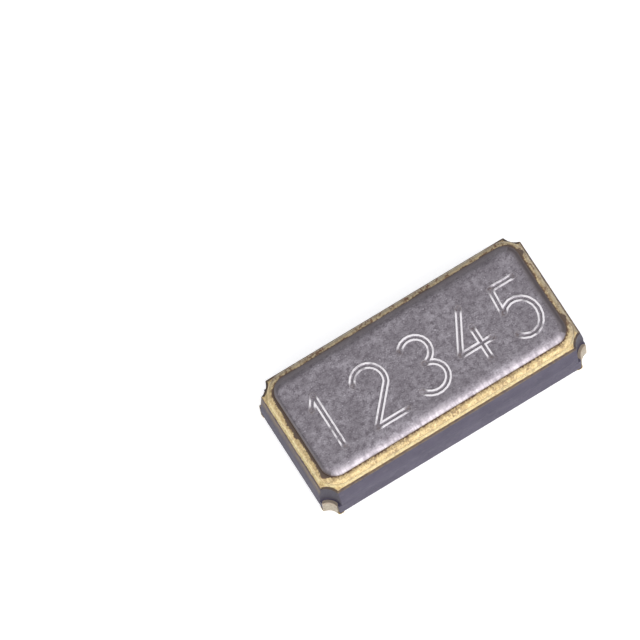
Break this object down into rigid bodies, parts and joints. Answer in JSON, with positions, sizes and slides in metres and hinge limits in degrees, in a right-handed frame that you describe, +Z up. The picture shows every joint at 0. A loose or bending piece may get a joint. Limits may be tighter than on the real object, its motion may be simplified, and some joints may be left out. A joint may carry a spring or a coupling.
{
  "type": "surface mount quartz crystal",
  "caption": "Rectangular ceramic package with a seam-welded metal lid on a gold-plated ring, notched corners and flat solder pads below; a quartz tuning fork is sealed inside.",
  "frame": {"origin": "the middle of the package on the mounting plane, at the underside of the solder pads", "axes": "+X along the package from the two small signal pads to the large ground pad, +Y across it, +Z up through the lid"},
  "size_m": [0.0032, 0.0016, 0.0008],
  "materials": {
    "alumina": "matte",
    "pad_gold": "matte",
    "rim_gold": "satin",
    "lid_nickel": "satin",
    "inner_gold": "satin",
    "via_metal": "matte",
    "quartz": "gloss",
    "silver_glue": "matte"
  },
  "bodies": {
    "root": {"ceramic_base": "alumina", "signal_pad_1": "pad_gold", "signal_pad_2": "pad_gold", "ground_pad": "pad_gold", "rim_metal": "rim_gold", "braze": "rim_gold", "seal_ring": "rim_gold", "lid": "lid_nickel", "inner_lead_1": "inner_gold", "inner_lead_2": "inner_gold", "electrode_1": "inner_gold", "electrode_2": "inner_gold", "tip_weight_1": "inner_gold", "tip_weight_2": "inner_gold", "ground_via": "via_metal", "tuning_fork": "quartz", "glue_dot_1": "silver_glue", "glue_dot_2": "silver_glue"}
  },
  "joints": []
}
